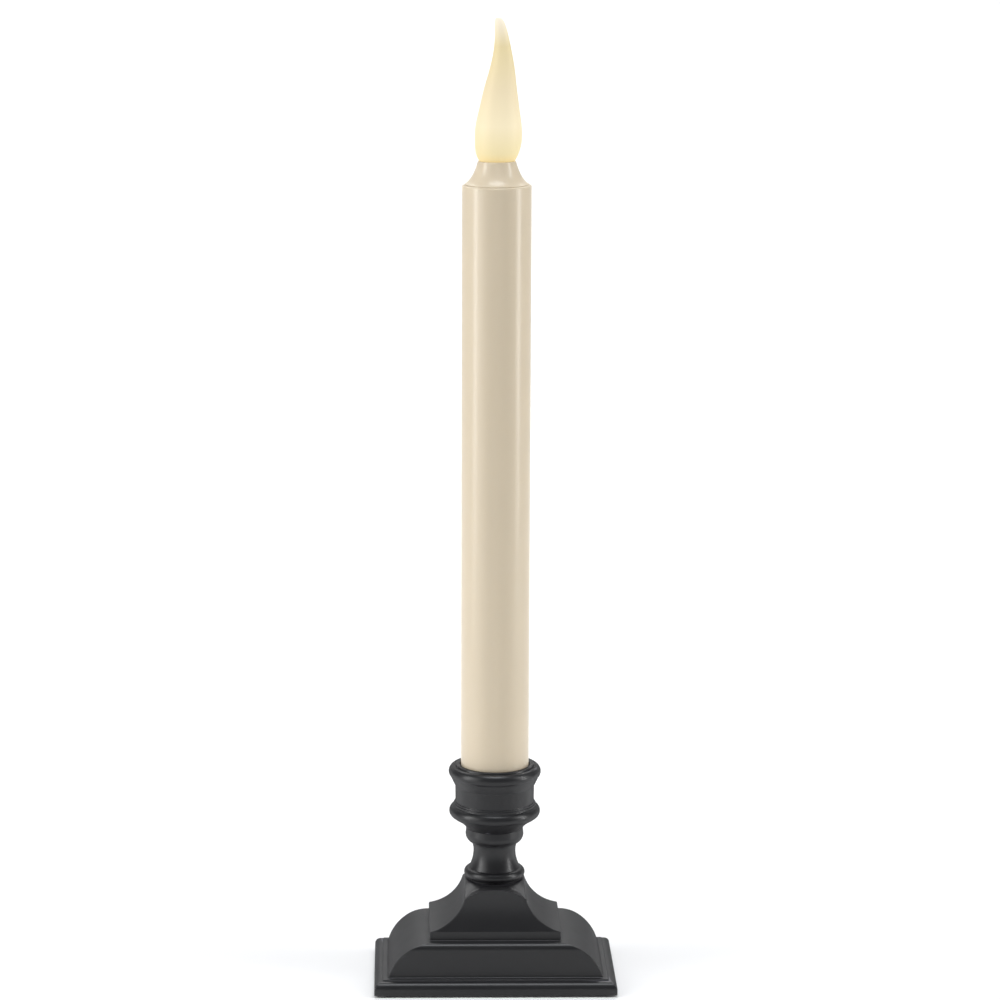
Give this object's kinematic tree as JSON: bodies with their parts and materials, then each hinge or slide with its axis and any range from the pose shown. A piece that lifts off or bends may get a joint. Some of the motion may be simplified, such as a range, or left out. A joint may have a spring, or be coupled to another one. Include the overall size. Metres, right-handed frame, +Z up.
{
  "type": "flameless led candle",
  "caption": "Battery taper candle with a moulded flame-shaped lamp, standing in a dark turned candlestick with a stepped rectangular base.",
  "frame": {"origin": "centre of the base, on the plane that the rubber feet stand on", "axes": "+Z up along the candle, -Y towards the front, X along the width of the base"},
  "size_m": [0.0762, 0.0472, 0.3033],
  "materials": {
    "satin_charcoal": "satin charcoal lacquer over moulded plastic",
    "black_plastic": "fine matt moulded black",
    "rubber_black": "matt",
    "ballast_iron": "rough, as cast",
    "zinc_steel": "bright zinc plate",
    "nickel_strip": "bright nickel plate",
    "spring_steel": "nickel plated spring wire",
    "candle_ivory": "satin",
    "natural_plastic": "semi-matt",
    "switch_black": "semi-gloss",
    "knob_white": "gloss",
    "cell_jacket": "printed film jacket, plain",
    "board_green": "solder mask over glass laminate",
    "chip_black": "fine matt",
    "capacitor_blue": "shrunk film jacket",
    "resistor_black": "matt glaze",
    "led_epoxy": "clear, warm tinted",
    "flame_diffuser": "frosted, lit from inside",
    "lead_red": "soft insulation",
    "lead_black": "soft insulation"
  },
  "bodies": {
    "candlestick": {"base_shell": "satin_charcoal", "stem": "satin_charcoal", "candle_cup": "satin_charcoal", "through_bolt": "zinc_steel", "bolt_washer": "zinc_steel", "ballast_weight": "ballast_iron", "bottom_cover": "black_plastic", "cover_screws": "zinc_steel", "rubber_feet": "rubber_black"},
    "candle_core": {"bottom_cap": "candle_ivory", "switch_body": "switch_black", "switch_terminals": "nickel_strip", "battery_holder": "natural_plastic", "spring_plate": "nickel_strip", "contact_spring": "spring_steel", "battery_lower": "cell_jacket", "battery_upper": "cell_jacket", "positive_contact": "nickel_strip", "lamp_mast": "natural_plastic", "mast_screws": "zinc_steel", "driver_board": "board_green", "timer_chip": "chip_black", "crystal_can": "nickel_strip", "board_capacitor": "capacitor_blue", "board_resistors": "resistor_black", "led_holder": "black_plastic", "led_lamp": "led_epoxy", "led_leads": "nickel_strip", "spring_lead": "lead_black", "battery_lead_black": "lead_black", "battery_lead_red": "lead_red", "lamp_lead_red": "lead_red", "lamp_lead_black": "lead_black"},
    "switch_slider": {"switch_knob": "knob_white"},
    "candle_sleeve": {"candle_tube": "candle_ivory", "candle_top": "candle_ivory", "flame_retainer": "natural_plastic", "flame_lens": "flame_diffuser"}
  },
  "joints": [
    {"name": "candle_lift", "type": "slide", "parent": "candlestick", "child": "candle_core", "axis": [0, 0, 1], "range_m": [0, 0.04]},
    {"name": "sleeve_slide", "type": "slide", "parent": "candle_core", "child": "candle_sleeve", "axis": [0, 0, 1], "range_m": [0, 0.21]},
    {"name": "switch_slide", "type": "slide", "parent": "candle_core", "child": "switch_slider", "axis": [1, 0, 0], "range_m": [-0.002, 0.002]}
  ]
}
